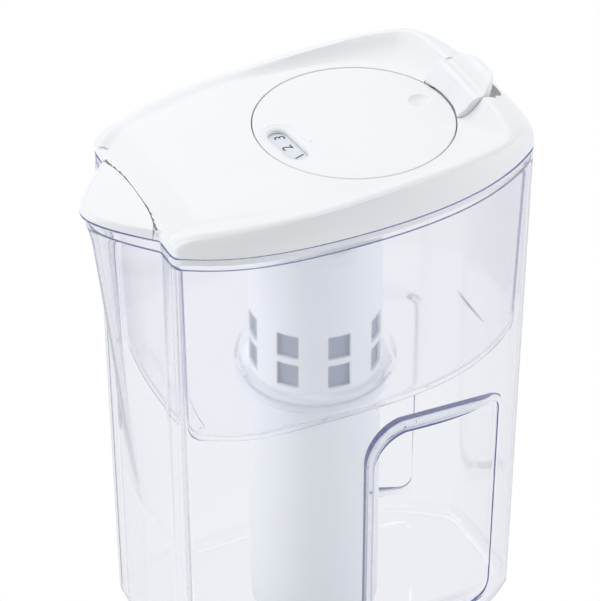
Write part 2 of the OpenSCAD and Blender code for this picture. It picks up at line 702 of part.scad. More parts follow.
module thumb_lever() {
    x = hinge_x;
    z = hinge_z;
    tip = x + lever_reach;
    top = z + lever_rise;
    round_x = tip - lever_round_r;
    color("white") difference() {
        intersection() {
            across([[x - 12.6, z - 3.1], [x - 9.8, z - 0.2], [x - 7.2, z + 2.7], [x - 4.8, z + 4.7], [x - 2.6, z + 5.3],
                [x - 0.6, z + 5], [x + 1, z + 5.6], [x + 3, top - 1.4], [x + 5.6, top - 0.1], [tip - 1.6, top],
                [tip - 0.4, top - 1.1], [tip, top - 2.2], [tip - 0.3, top - 3], [tip - 2, top - 3.4],
                [x + 5.2, z + 3.2], [x + 3.8, z - 1.2], [x + 2, z - 3.6], [x - 1, z - 4.1], [x - 3.5, z - 3.4],
                [fill_x + dial_r + 1.3, z - 2.7]], lever_half);
            union() {
                translate([round_x - 20, -lever_half, z - 20]) cube([20, 2 * lever_half, 40]);
                translate([round_x, 0, z - 20]) cylinder(h = 40, r = lever_round_r, $fn = 96);
            }
        }
        on_dial_axis() rotate_extrude($fn = 128) polygon([[0, deck_z - 1], [well_r, deck_z - 1], [well_r, deck_z + 0.6],
            [well_r + 1.8, deck_z + 4], [well_r + 3.8, deck_z + 7.2], [well_r + 4.4, top], [0, top]]);
        pin_y(x, z, hinge_pin_r + run_gap, lever_half + 1);
    }
}
module number_plate() {
    color("whitesmoke") difference() {
        on_dial_axis() translate([0, 0, plate_z]) cylinder(h = plate_t, r = dial_r - 0.1 - rim_t - 0.1);
        on_dial_axis() translate([0, 0, plate_z - 1]) cylinder(h = plate_t + 2, r = stud_r + run_gap);
    }
}
module slot(length, width) {
    hull() {
        translate([0, -length / 2]) circle(d = width, $fn = 32);
        translate([0, length / 2]) circle(d = width, $fn = 32);
    }
}
module dial_disc() {
    ball_r = (dimple_r * dimple_r + dimple_depth * dimple_depth) / (2 * dimple_depth);
    rim_chamfer = 0.3;
    color("white") turned() difference() {
        union() {
            rotate_extrude() polygon([[0, dial_z], [dial_r, dial_z], [dial_r, deck_z - rim_chamfer],
                [dial_r - rim_chamfer, deck_z], [0, deck_z]]);
            translate([0, 0, frame_z - 3]) cylinder(h = dial_z - frame_z + 3 + eps, r = stud_r);
        }
        translate([-window_at, 0, dial_z - 1]) linear_extrude(height = 10) slot(window_len, window_w);
        translate([-window_at, 0, deck_z - 0.9]) linear_extrude(height = 10) slot(window_len, window_w + 3);
        translate([window_at, 0, deck_z - dimple_depth + ball_r]) sphere(r = ball_r);
    }
}
module dial_retainer() {
    color("gainsboro") on_dial_axis() difference() {
        translate([0, 0, frame_z - 2.4]) cylinder(h = 2.2, r = stud_r + 3.6);
        translate([0, 0, frame_z - 4]) cylinder(h = 6, r = stud_r);
    }
}

jug_body();
hopper();
seat_gasket();
cartridge_housing();
cartridge_cage();
cartridge_screen();
cartridge_cap();
cartridge_o_ring();
carbon_bed();
bed_divider();
fiber_bundle();
potting_disc();
outlet_plate();
lid_shell();
lid_tray();
fill_collar();
flap_pin();
spout_flap();
flip_pin();
flip_frame();
thumb_lever();
number_plate();
dial_disc();
dial_retainer();
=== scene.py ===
"""Looks of a clear water filter jug with a white flip lid, built round its CAD frame.

X runs from the spout to the rear and Z upward. Lengths are in mm until a mesh is made.
"""
import json
import math

import bmesh
import bpy
import numpy as np
from mathutils import Matrix, Vector


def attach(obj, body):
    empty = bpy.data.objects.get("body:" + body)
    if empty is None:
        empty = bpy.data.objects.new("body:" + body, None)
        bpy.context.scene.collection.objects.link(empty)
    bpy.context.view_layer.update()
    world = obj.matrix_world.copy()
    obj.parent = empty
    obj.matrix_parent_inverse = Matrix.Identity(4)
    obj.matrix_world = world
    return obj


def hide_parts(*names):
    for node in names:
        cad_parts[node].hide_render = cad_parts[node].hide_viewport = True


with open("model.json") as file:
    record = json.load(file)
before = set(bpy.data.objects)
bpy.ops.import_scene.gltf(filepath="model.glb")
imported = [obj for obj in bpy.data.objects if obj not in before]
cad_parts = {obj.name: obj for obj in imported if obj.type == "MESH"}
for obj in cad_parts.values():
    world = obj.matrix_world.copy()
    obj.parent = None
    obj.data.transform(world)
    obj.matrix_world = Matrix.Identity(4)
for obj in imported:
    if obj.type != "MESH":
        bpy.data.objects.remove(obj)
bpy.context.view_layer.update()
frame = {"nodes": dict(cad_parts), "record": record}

MM = 0.001

# ---- sizes that are the same as the CAD part's ----
# Jug: its plan at the rim, then its heights and walls.
FRONT = 74.0
REAR = 95.0
REACH = 20.0
SPOUT_HALF = 29.4
SHOULDER_HALF = 39.0
SIDE_HALF = 57.8
REAR_CORNER_HALF = 31.4
FLARE = math.radians(30)
FRONT_BOW = 0.5
FOLD_IN = 1.2
STERN_IN = 6.4
STERN_ANGLE = math.radians(40)
WIDEST_X = -5.0
NOSE_SIDE = (0.49, 10.2)
NOSE_HANDLE = 8.0
CORNER_HANDLE = 2.4
FLARE_HANDLE = 19.0
WIDEST_FRONT_HANDLE = 32.0
WIDEST_REAR_HANDLE = 43.0
STERN_FRONT_HANDLE = 28.5
STERN_REAR_HANDLE = 7.0
REAR_HANDLE = 14.0
RIM_Z = 236.0
WALL = 2.4
FLOOR_T = 3.0
DRAFT = 2.4
BASE_R = 6.0
SPOUT_DROP = 155.0
LIP_REACH = 2.9
LIP_DROP = 20.0
LEDGE_DEPTH = 6.0
LEDGE_W = 1.2

# Grip recess in each side.
GRIP_FRONT = 8.5
GRIP_REAR = 74.0
GRIP_TOP = 129.0
GRIP_TOP_DROP = 7.0
GRIP_BOTTOM = 14.0
GRIP_FRONT_R = 15.0
GRIP_REAR_R = 7.0
GRIP_HALF_FRONT = 50.0
GRIP_HALF_REAR = 39.4

# Hopper and the well in which the cartridge sits.
HOPPER_GAP = 1.4
HOPPER_FLOOR = 139.0
HOPPER_R = 9.0
HOPPER_WALL = 1.8
HOPPER_DRAFT = 2.4
FLANGE_T = 2.0
FLANGE_IN = WALL - LEDGE_W + 0.35
FILTER_X = 6.5
FILTER_R = 27.6
FILTER_HOLE_R = FILTER_R + 1
SUMP_R = FILTER_R + 6.2
SUMP_Z = 131.5
SUMP_FLOOR_T = 2.0
SUMP_WALL = 1.8

# Lid.
LID_Z = RIM_Z + 0.3
DECK_Z = 248.0
CREST_Z = 256.0
CORNER_Z = CREST_Z - 1.8
CREASE_Z = 245.0
FLAP_Z = LID_Z + 3.7
TIP_Z = LID_Z + 1.7
SKIRT_H = 4.8
LID_WALL = 2.2
HOLLOW_X = 12 - FRONT
SCOOP_WALL = 1.7
POCKET_WALL = 1.6
LEVER_GAP = 0.5

# Spout flap and its pin.
PIN_X = -73.2
PIN_Z = LID_Z + 2.2
FLAP_SKIN = 0.9
BARREL_R = 1.4
BARREL_HALF = 20.0
FLAP_BORE_R = 0.8

# Fill opening, dial and the plate and frame under it.
FILL_X = 24.0
DIAL_R = 41.0
DIAL_T = 2.0
DIAL_TURN = math.radians(6.4)
THROAT_R = 38.4
THROAT_LEDGE_T = 2.0
SLEEVE_T = 2.0
WINDOW_AT = 31.0
WINDOW_LEN = 15.0
WINDOW_W = 8.4
DIMPLE_R = 4.8
STUD_R = 4.0
DIAL_Z = DECK_Z - DIAL_T
PLATE_TOP = DIAL_Z - 0.2
FRAME_Z = PLATE_TOP - 0.9 - 2
SLEEVE_Z = FRAME_Z - 0.1 - THROAT_LEDGE_T

# Thumb lever.
HINGE_X = 74.0
HINGE_Z = 251.0
HINGE_PIN_R = 1.5
LEVER_HALF = 16.4
LEVER_REACH = 10.0
LEVER_RISE = 8.7
LEVER_ROUND_R = 17.0
LEVER_TIP = HINGE_X + LEVER_REACH
LEVER_TOP = HINGE_Z + LEVER_RISE
ARM_HALF = 12.0
SCOOP_R = math.hypot(LEVER_REACH - 0.4, LEVER_RISE - 1.1) + 0.2

# ---- sizes that differ from the CAD part's ----
WELL_R = DIAL_R + 0.4  # the CAD part's groove is 0.6 wide
DIMPLE_DEPTH = 1.3  # 1.1
FLAP_GAP_HALF = 0.08  # 0.15
# Room for the flap to swing: half lengths and radii about its pin. The last radius is 2.2.
FLAP_SWING = ((13, 3.4), (17, 3.05), (21, 2.5), (24, 2.0), (27.2, 1.68))

# ---- sizes that only the scene has ----
FOLD_FILLET = 1.6
RIM_ROUND = 0.8
GRIP_EDGE_R = 1.5
GRIP_OPENING = 0.08
GRIP_DEEP = 25.0
LEVER_CORNER_R = 4.5
DOT_AT = 22.4

# Points along each stretch of half the outline.
NOSE_N = 18
FOLD_N = 6
FACE_N = 6
CORNER_N = 12
SIDE_FRONT_N = 48
SIDE_REAR_N = 96
STERN_N = 24
LEAD_N = NOSE_N + FOLD_N + FACE_N

# Faces across the lid's deck, round the fill opening and along each corner of the grip recess,
# and points along each end of the window.
DECK_N = 24
ROUND_N = 192
GRIP_ARC_N = 16
STADIUM_N = 20


# ---- outline of the jug ----
def vec(*v):
    return np.array(v, float)


def bezier(a, b, c, d, steps):
    """Points of one Bezier stretch, without its last point."""
    t = (np.arange(steps) / steps)[:, None]
    s = 1 - t
    return s**3 * vec(*a) + 3 * s * s * t * vec(*b) + 3 * s * t * t * vec(*c) + t**3 * vec(*d)


def jug_half(reach, d):
    """Half the outline, from the spout's tip over +Y to the rear, moved inward by d."""
    side = vec(NOSE_SIDE[0] * (reach + FOLD_IN), NOSE_SIDE[1])
    slant = np.linalg.norm(side)
    tip = vec(d - FRONT - reach, 0)
    fold = vec(FOLD_IN + d - FRONT, SPOUT_HALF - d * side[0] / (slant + side[1]))
    corner = d * vec(1, -math.tan(math.pi / 4 - FLARE / 2))
    a = vec(1.4 - FRONT, SHOULDER_HALF) + corner
    b = vec(4 - FRONT, SHOULDER_HALF + 4.9) + corner
    flare = vec(math.cos(FLARE), math.sin(FLARE))
    stern_dir = vec(math.cos(STERN_ANGLE), -math.sin(STERN_ANGLE))
    w = vec(WIDEST_X, SIDE_HALF - d)
    s = vec(REAR - STERN_IN, REAR_CORNER_HALF) - d * vec(stern_dir[0], -stern_dir[1])
    rear = vec(REAR - d, 0)
    start = fold - side / slant * FOLD_FILLET
    end = fold + (a - fold) / np.linalg.norm(a - fold) * FOLD_FILLET
    return np.vstack([
        bezier(tip, tip + vec(0, NOSE_HANDLE), fold - side * (1 - 0.05 * d), start, NOSE_N),
        bezier(start, fold, fold, end, FOLD_N),
        bezier(end, end + (a - end) / 3, a - (a - end) / 3, a, FACE_N),
        bezier(a, a + vec(0.5, CORNER_HANDLE), b - flare * CORNER_HANDLE, b, CORNER_N),
        bezier(b, b + flare * FLARE_HANDLE, w - vec(WIDEST_FRONT_HANDLE, 0), w, SIDE_FRONT_N),
        bezier(w, w + vec(WIDEST_REAR_HANDLE, 0), s - stern_dir * STERN_FRONT_HANDLE, s,
               SIDE_REAR_N),
        bezier(s, s + stern_dir * STERN_REAR_HANDLE, rear + vec(0, REAR_HANDLE), rear, STERN_N),
        rear[None, :]])


def full_loop(half):
    """Half an outline and its mirror image."""
    back = half[-2:0:-1].copy()
    back[:, 1] *= -1
    return np.vstack([half, back])


def jug_loop(reach, d):
    return full_loop(jug_half(reach, d))


def reach_at(z):
    """How far the spout stands out at a height."""
    return (FRONT_BOW + (REACH - LIP_REACH - FRONT_BOW) * max(0.0, 1 - (RIM_Z - z) / SPOUT_DROP)
            + LIP_REACH * max(0.0, 1 - (RIM_Z - z) / LIP_DROP) ** 2)


def lean_at(z):
    """How far the wall leans in at a height."""
    return DRAFT * (RIM_Z - z) / RIM_Z


def edge_at(z, r):
    """How far a floor's rounded edge is in from the wall at a height."""
    return 0.0 if z >= r else r - math.sqrt(max(0.0, r * r - (r - z) ** 2))


def at_z(loop, z):
    return np.column_stack([loop, np.full(len(loop), z)])


# ---- mesh helpers ----
def mesh_object(name, verts, faces):
    mesh = bpy.data.meshes.new(name)
    mesh.from_pydata([tuple(v) for v in np.asarray(verts) * MM], [], [tuple(f) for f in faces])
    mesh.validate()
    bm = bmesh.new()
    bm.from_mesh(mesh)
    bmesh.ops.recalc_face_normals(bm, faces=bm.faces)
    bm.to_mesh(mesh)
    bm.free()
    ob = bpy.data.objects.new(name, mesh)
    bpy.context.scene.collection.objects.link(ob)
    return ob


def smooth(ob, angle):
    ob.data.shade_smooth()
    ob.data.set_sharp_from_angle(angle=math.radians(angle))


def settle(ob, angle):
    """Smooth shading in which large flat faces stay flat."""
    smooth(ob, angle)
    mod = ob.modifiers.new("flat", "WEIGHTED_NORMAL")
    mod.keep_sharp = True
    mod.weight = 90


def walls(n, m):
    """Faces between m rings of n points."""
    return [(k * n + i, k * n + (i + 1) % n, (k + 1) * n + (i + 1) % n, (k + 1) * n + i)
            for k in range(m - 1) for i in range(n)]


def ruled_end(base, n):
    """Faces over one ring, ruled from side to side."""
    h = n // 2
    return [(base, base + 1, base + n - 1),
            *((base + i, base + i + 1, base + n - i - 1, base + n - i) for i in range(1, h - 1)),
            (base + h - 1, base + h, base + h + 1)]


def loft(name, rings):
    """A solid through outlines of equal length. Its ends may curve along X."""
    n, m = len(rings[0]), len(rings)
    faces = walls(n, m) + ruled_end(0, n) + ruled_end((m - 1) * n, n)
    return mesh_object(name, np.vstack(rings), faces)


def stack(name, rings):
    """A solid through rings of equal length, with one face over each end."""
    n, m = len(rings[0]), len(rings)
    faces = walls(n, m) + [tuple(range(n)), tuple(range((m - 1) * n, m * n))]
    return mesh_object(name, np.vstack(rings), faces)


def lathe(name, profile, centre, steps=128):
    """Turns a closed profile of (r, z) points about a vertical axis."""
    verts, faces, rows = [], [], []
    for r, z in profile:
        if r < 1e-6:
            rows.append([len(verts)])
            verts.append((centre[0], centre[1], z))
        else:
            rows.append(list(range(len(verts), len(verts) + steps)))
            for i in range(steps):
                t = 2 * math.pi * i / steps
                verts.append((centre[0] + r * math.cos(t), centre[1] + r * math.sin(t), z))
    for a, b in zip(rows, rows[1:] + rows[:1]):
        if len(a) == 1 and len(b) == 1:
            continue
        for i in range(steps):
            j = (i + 1) % steps
            if len(a) == 1:
                faces.append((a[0], b[i], b[j]))
            elif len(b) == 1:
                faces.append((a[i], b[0], a[j]))
            else:
                faces.append((a[i], b[i], b[j], a[j]))
    return mesh_object(name, verts, faces)


def prism(name, near, far):
    """A solid between two copies of a polygon."""
    n = len(near)
    faces = [tuple(range(n)), tuple(range(2 * n - 1, n - 1, -1))]
    faces += [(i, i + n, (i + 1) % n + n, (i + 1) % n) for i in range(n)]
    return mesh_object(name, near + far, faces)


def prism_y(name, points, half):
    """A solid whose section in XZ is a polygon, from -half to half in Y."""
    return prism(name, [(x, -half, z) for x, z in points], [(x, half, z) for x, z in points])


def prism_z(name, points, low, high):
    """A solid whose plan is a polygon, from low to high."""
    return prism(name, [(x, y, low) for x, y in points], [(x, y, high) for x, y in points])


def circle_points(cx, cz, r, start=0.0, end=360.0, steps=48):
    return [(cx + r * math.cos(math.radians(start + (end - start) * i / steps)),
             cz + r * math.sin(math.radians(start + (end - start) * i / steps)))
            for i in range(steps)]


def apply_modifiers(ob):
    made = bpy.data.meshes.new_from_object(
        ob.evaluated_get(bpy.context.evaluated_depsgraph_get()))
    ob.modifiers.clear()
    old = ob.data
    ob.data = made
    bpy.data.meshes.remove(old)


def cut(ob, cutter, operation="DIFFERENCE"):
    mod = ob.modifiers.new("cut", "BOOLEAN")
    mod.operation = operation
    mod.solver = "MANIFOLD"
    mod.object = cutter
    apply_modifiers(ob)
    bpy.data.objects.remove(cutter)


# ---- materials ----
def feed(nt, value, socket):
    """Links another node's output to a socket, or sets the socket to a value."""
    if isinstance(value, bpy.types.NodeSocket):
        nt.links.new(value, socket)
    else:
        socket.default_value = value


def node(nt, kind, **inputs):
    n = nt.nodes.new("ShaderNode" + kind)
    for name, value in inputs.items():
        feed(nt, value, n.inputs[name.replace("_", " ")])
    return n


def principled(name, colour, rough, **sockets):
    mat = bpy.data.materials.new(name)
    mat.use_nodes = True
    nt = mat.node_tree
    b = nt.nodes["Principled BSDF"]
    b.inputs["Base Color"].default_value = (*colour, 1)
    b.inputs["Roughness"].default_value = rough
    for key, value in sockets.items():
        b.inputs[key.replace("_", " ")].default_value = value
    return mat, nt, b


def position(nt):
    return node(nt, "TexCoord").outputs["Object"]


def noise(nt, source, scale, detail=2.0):
    return node(nt, "TexNoise", Scale=scale, Detail=detail, Vector=source).outputs["Fac"]


def ramp(nt, source, low, high):
    return node(nt, "MapRange", To_Min=low, To_Max=high, Value=source).outputs["Result"]


def bump(nt, source, b, strength, distance):
    n = node(nt, "Bump", Strength=strength, Distance=distance, Height=source)
    nt.links.new(n.outputs["Normal"], b.inputs["Normal"])


def math_node(nt, operation, a, b=0.0):
    n = node(nt, "Math")
    n.operation = operation
    feed(nt, a, n.inputs[0])
    feed(nt, b, n.inputs[1])
    return n.outputs[0]


def mix_shader(nt, factor, first, second):
    """The first shader where the factor is 0, the second where it is 1."""
    n = node(nt, "MixShader")
    for source, socket in zip((factor, first, second), n.inputs):
        nt.links.new(source, socket)
    return n.outputs[0]


# How many bumps or blots there are to a metre, and how deep the bumps are in metres.
UNEVEN_SCALE, GLOSS_SPREAD = 60.0, 0.06
GRAIN_DEPTH = 0.0004
WAVE_SCALE, WAVE_DEPTH = 38.0, 0.002
HAZE_SCALE = 400.0


def satin(name, colour, rough, grain=2600.0, depth=0.02):
    """Moulded plastic: an even colour, a fine grain and a slightly uneven gloss."""
    mat, nt, b = principled(name, colour, rough)
    p = position(nt)
    uneven = ramp(nt, noise(nt, p, UNEVEN_SCALE), rough - GLOSS_SPREAD, rough + GLOSS_SPREAD)
    nt.links.new(uneven, b.inputs["Roughness"])
    bump(nt, noise(nt, p, grain, 3.0), b, depth, GRAIN_DEPTH)
    return mat


# A ray that has been reflected more often than TRAPPED_AFTER inside clear plastic glows with this
# colour: painted shade that darkens the plastic's edges to dark blue.
EDGE_PAINTED_SHADE = (0.13, 0.15, 0.34)
TRAPPED_AFTER = 1.5


def clear(name, colour, rough, tint, density, ior=1.5, wobble=0.0, blur=0.0):
    """Clear plastic with a tint that deepens along the light's way through it.

    Light from the lamps, and light scattered by other things, passes straight through it. A ray
    trapped in it by many reflections glows with painted dark blue edge shade.
    """
    mat, nt, b = principled(name, colour, rough, IOR=ior, Transmission_Weight=1.0)
    p = position(nt)
    if wobble:
        bump(nt, noise(nt, p, WAVE_SCALE, 1.0), b, wobble, WAVE_DEPTH)
    if blur:
        uneven = ramp(nt, noise(nt, p, HAZE_SCALE), rough - blur, rough + blur)
        nt.links.new(uneven, b.inputs["Roughness"])
    path = node(nt, "LightPath").outputs
    trapped = math_node(nt, "GREATER_THAN", path["Glossy Depth"], TRAPPED_AFTER)
    # Painted edge shade: trapped rays get a dark blue glow in place of the plastic's own look.
    edge = node(nt, "Emission", Color=(*EDGE_PAINTED_SHADE, 1))
    plastic = mix_shader(nt, trapped, b.outputs[0], edge.outputs[0])
    scattered = math_node(nt, "GREATER_THAN", path["Diffuse Depth"], 0.5)
    straight = math_node(nt, "MAXIMUM", path["Is Shadow Ray"], scattered)
    passing = node(nt, "BsdfTransparent", Color=(1, 1, 1, 1))
    volume = node(nt, "VolumeAbsorption", Color=(*tint, 1), Density=density)
    out = nt.nodes["Material Output"].inputs
    nt.links.new(mix_shader(nt, straight, plastic, passing.outputs[0]), out["Surface"])
    nt.links.new(volume.outputs["Volume"], out["Volume"])
    return mat


def paint(ob, mat):
    ob.data.materials.clear()
    ob.data.materials.append(mat)


LID_WHITE = satin("lid_white", (0.83, 0.835, 0.84), 0.42)
NUMBER_WHITE = satin("number_white", (0.74, 0.76, 0.80), 0.5)
FILTER_WHITE = satin("filter_white", (0.98, 0.98, 0.98), 0.38)
PIN_WHITE = satin("pin_white", (0.75, 0.77, 0.80), 0.35)
CLEAR = clear("clear_shell", (1, 1, 1), 0.0, (0.35, 0.41, 0.60), 44.0, wobble=0.012)
HAZY = clear("frosted_hopper", (0.99, 0.99, 1.0), 0.2, (0.55, 0.58, 0.7), 2.5, ior=1.045, blur=0.05)


# ---- jug ----
def grip_outline(grow):
    """The recess seen from its side, as (x, z) points."""
    fr, rr = GRIP_FRONT_R, GRIP_REAR_R
    pts = []
    for cx, cz, r, a0 in ((GRIP_REAR - rr, GRIP_BOTTOM + rr, rr, -90),
                          (GRIP_REAR - rr, GRIP_TOP - GRIP_TOP_DROP - rr, rr, 0),
                          (GRIP_FRONT + fr, GRIP_TOP - fr, fr, 90),
                          (GRIP_FRONT + fr, GRIP_BOTTOM + fr, fr, 180)):
        for i in range(GRIP_ARC_N + 1):
            t = math.radians(a0 + 90 * i / GRIP_ARC_N)
            pts.append((cx + (r + grow) * math.cos(t), cz + (r + grow) * math.sin(t)))
    return np.array(pts)


def grip_cutter(side, grow):
    """The space pressed into one side: a floor with a rounded edge, walls that open outward."""
    slope = (GRIP_HALF_FRONT - GRIP_HALF_REAR) / (GRIP_REAR - GRIP_FRONT)
    stops = [(0.0, -GRIP_EDGE_R - 0.5)]
    stops += [(GRIP_EDGE_R * (1 - math.cos(a)), -GRIP_EDGE_R * (1 - math.sin(a)))
              for a in np.linspace(0, math.pi / 2, 7)]
    stops.append((GRIP_DEEP, GRIP_OPENING * GRIP_DEEP))
    rings = []
    for out, wider in stops:
        ring = grip_outline(grow + wider)
        y = GRIP_HALF_FRONT - (ring[:, 0] - GRIP_FRONT) * slope - grow + out
        rings.append(np.column_stack([ring[:, 0], side * y, ring[:, 1]]))
    return stack("grip", rings)


def spaced(stops):
    """Heights from the first stop on. Each stop has the step of the stretch that ends there."""
    out = [stops[0][0]]
    for (a, _), (b, step) in zip(stops, stops[1:]):
        k = max(1, round((b - a) / step))
        out += [a + (b - a) * (i + 1) / k for i in range(k)]
    return out


def floor_heights(low, r, angles):
    """Heights up the rounded edge of a floor."""
    return [low] + [low + r * (1 - math.cos(math.radians(a))) for a in angles]


# The rings lie closer together at the grip's lower and upper edges.
wall_heights = spaced([(BASE_R, 1), (9, 1), (24, 0.8), (112, 3.0), (141, 0.8),
                       (RIM_Z - LIP_DROP, 3.0), (RIM_Z - 1.2, 1.5)])
outer = [at_z(jug_loop(reach_at(z), lean_at(z) + edge_at(z, BASE_R)), z)
         for z in floor_heights(0, BASE_R, range(12, 90, 13))]
outer += [at_z(jug_loop(reach_at(z), lean_at(z)), z) for z in wall_heights]
outer += [at_z(jug_loop(reach_at(RIM_Z), 0.25 * (1 - math.cos(a))),
               RIM_Z - RIM_ROUND + RIM_ROUND * math.sin(a)) for a in (0.3, 0.7, 1.1, 1.5708)]

inner_r = BASE_R - WALL
ledge_z = RIM_Z - LEDGE_DEPTH
inner = [at_z(jug_loop(reach_at(z), lean_at(z) + WALL + edge_at(z - FLOOR_T, inner_r)), z)
         for z in floor_heights(FLOOR_T, inner_r, range(15, 90, 15))]
inner += [at_z(jug_loop(reach_at(z), lean_at(z) + WALL), z)
          for z in wall_heights if FLOOR_T + inner_r < z < ledge_z]
inner.append(at_z(jug_loop(reach_at(ledge_z), WALL), ledge_z))
inner += [at_z(jug_loop(reach_at(z), WALL - LEDGE_W), z)
          for z in (ledge_z + 0.1, RIM_Z - 4, RIM_Z - 2, RIM_Z - 0.5)]
rim_loop = jug_loop(reach_at(RIM_Z), WALL - LEDGE_W - 0.35)
inner += [at_z(rim_loop, RIM_Z), at_z(rim_loop, RIM_Z + 2)]

jug = loft("jug", outer)
room = loft("jug_room", inner)
for side in (1, -1):
    cut(jug, grip_cutter(side, 0.0))
    cut(room, grip_cutter(side, WALL))
cut(jug, room)
settle(jug, 40)
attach(jug, "jug")
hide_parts("jug_body")
paint(jug, CLEAR)


# ---- hopper ----
def hopper_ring(z, d):
    lean = HOPPER_DRAFT * (ledge_z - z) / (ledge_z - HOPPER_FLOOR)
    return at_z(jug_loop(FRONT_BOW, WALL + HOPPER_GAP + d + lean), z)


flange_z = ledge_z + 0.2
hopper_top = flange_z + FLANGE_T
floor_in = HOPPER_FLOOR + HOPPER_WALL
inner_r = HOPPER_R - 0.6
angles = [math.radians(a) for a in range(0, 91, 15)]
outer = [hopper_ring(HOPPER_FLOOR + HOPPER_R * (1 - math.cos(a)), HOPPER_R * (1 - math.sin(a)))
         for a in angles]
outer += [hopper_ring(z, 0) for z in np.linspace(HOPPER_FLOOR + HOPPER_R + 6, flange_z, 14)]
outer += [at_z(jug_loop(FRONT_BOW, FLANGE_IN), flange_z),
          at_z(jug_loop(FRONT_BOW, FLANGE_IN), hopper_top - 0.4),
          at_z(jug_loop(FRONT_BOW, FLANGE_IN + 0.4), hopper_top)]
inner = [hopper_ring(floor_in + inner_r * (1 - math.cos(a)),
                     HOPPER_WALL + inner_r * (1 - math.sin(a))) for a in angles]
inner += [hopper_ring(z, HOPPER_WALL)
          for z in np.linspace(floor_in + inner_r + 6, hopper_top - 0.5, 14)]
inner.append(hopper_ring(hopper_top, HOPPER_WALL))

# One closed skin: up the outside, over the rim and down the inside.
hopper = loft("hopper_tub", outer + inner[::-1])
on_filter = (FILTER_X, 0)
seat_z = SUMP_Z + SUMP_FLOOR_T
seat_r = SUMP_R - SUMP_WALL
cut(hopper, lathe("well", [(0, SUMP_Z), (SUMP_R - 1.5, SUMP_Z), (SUMP_R - 0.4, SUMP_Z + 0.4),
                           (SUMP_R, SUMP_Z + 1.5), (SUMP_R, floor_in - 0.5), (0, floor_in - 0.5)],
                  on_filter), "UNION")
cut(hopper, lathe("hole", [(0, SUMP_Z - 5), (FILTER_HOLE_R, SUMP_Z - 5), (FILTER_HOLE_R, seat_z),
                           (seat_r, seat_z), (seat_r, floor_in + 0.4),
                           (SUMP_R + 0.2, floor_in + 1.2), (SUMP_R + 0.2, floor_in + 4),
                           (0, floor_in + 4)], on_filter))
settle(hopper, 40)
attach(hopper, "hopper_unit")
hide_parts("hopper")
paint(hopper, HAZY)


# ---- shape of the thumb lever, which the lid is cut out for ----
def curve_through(points, steps):
    """Closed Catmull-Rom curve through points."""
    p = np.array(points, float)
    out = []
    for i in range(len(p)):
        a, b, c, d = p[i - 1], p[i], p[(i + 1) % len(p)], p[(i + 2) % len(p)]
        for t in np.arange(steps) / steps:
            out.append(tuple(0.5 * (2 * b + (c - a) * t + (2 * a - 5 * b + 4 * c - d) * t * t
                                    + (3 * b - a - 3 * c + d) * t**3)))
    return out


def lever_section():
    """The lever seen from its side, as (x, z) points."""
    x, z, tip, top = HINGE_X, HINGE_Z, LEVER_TIP, LEVER_TOP
    return curve_through([
        (x - 12.6, z - 3.1), (x - 9.8, z - 0.2), (x - 7.2, z + 2.7), (x - 4.8, z + 4.7),
        (x - 2.6, z + 5.3), (x - 0.6, z + 5), (x + 1, z + 5.6), (x + 3, top - 1.4),
        (x + 5.6, top - 0.1), (tip - 1.6, top), (tip - 0.4, top - 1.1), (tip, top - 2.2),
        (tip - 0.3, top - 3), (tip - 2, top - 3.4), (x + 5.2, z + 3.2), (x + 3.8, z - 1.2),
        (x + 2, z - 3.6), (x - 1, z - 4.1), (x - 3.5, z - 3.4),
        (FILL_X + DIAL_R + 1.3, z - 2.7)], 6)


def seat_section():
    """The room that the lid leaves for the lever at rest, from its side."""
    x, z, tip, top = HINGE_X, HINGE_Z, LEVER_TIP, LEVER_TOP
    return [(47.0, z - 3.6), (x - 3.5, z - 3.8), (x - 1, z - 4.5), (x + 2.2, z - 3.9),
            (x + 4.1, z - 1.4), (x + 5.6, z + 2.9), (tip - 1.8, top - 3.8), (tip + 1, top - 3.8),
            (tip + 1, z + 20), (47.0, z + 20)]


def lever_plan(grow):
    """The lever seen from above: round at the rear and at its front corners."""
    half, big, small = LEVER_HALF + grow, LEVER_ROUND_R + grow, LEVER_CORNER_R
    spread = math.acos(half / big)
    rear = [(LEVER_TIP - LEVER_ROUND_R + big * math.sin(a), -big * math.cos(a))
            for a in np.linspace(spread, math.pi - spread, 64)]
    cx = FILL_X + math.sqrt(WELL_R**2 - LEVER_HALF**2) + small - grow
    cy = half - small
    front = [(cx - small * math.cos(a), cy + small * math.sin(a))
             for a in np.linspace(math.pi / 2, 0, 9)] + [(FILL_X + 20, cy)]
    return rear + front + [(px, -py) for px, py in front[::-1]]


lever_curve = lever_section()


def sweep_r(y):
    """Radius that the lever's rear sweeps about its pin at a distance y from the middle."""
    round_at = math.sqrt(LEVER_ROUND_R**2 - min(abs(y), LEVER_HALF) ** 2)
    far = LEVER_REACH - LEVER_ROUND_R + round_at
    return 0.25 + max(math.hypot(px - HINGE_X, pz - HINGE_Z) for px, pz in lever_curve
                      if -3 < px - HINGE_X <= far)


def lever_sweep():
    """All that the lever's rear passes as the flip lid opens."""
    arm = ARM_HALF + 0.7
    beside = [arm + 0.05, 13.6, 14.4, 15.2, 16.0, LEVER_HALF + 0.3]
    middle = [0.0, 3.0, 6.0, 8.0, 10.0, arm]
    rings = []
    for y in [-y for y in beside[::-1]] + [-y for y in middle[:0:-1]] + middle + beside:
        rear = sweep_r(y)
        low = SCOOP_R if abs(y) <= arm else rear
        ring = (circle_points(HINGE_X, HINGE_Z, rear, -60, 90, 20)
                + circle_points(HINGE_X, HINGE_Z, low, 90, 300, 30))
        rings.append([(px, y, pz) for px, pz in ring])
    return stack("scoop", rings)


# ---- lid ----
def lead_points(d, lift):
    """The stretch of a ridge line that runs along the spout."""
    p = jug_half(REACH, d)[:LEAD_N]
    t = np.minimum(1, np.arange(len(p)) / NOSE_N)
    return np.column_stack([p, TIP_Z + (FLAP_Z - TIP_Z) * t + lift])


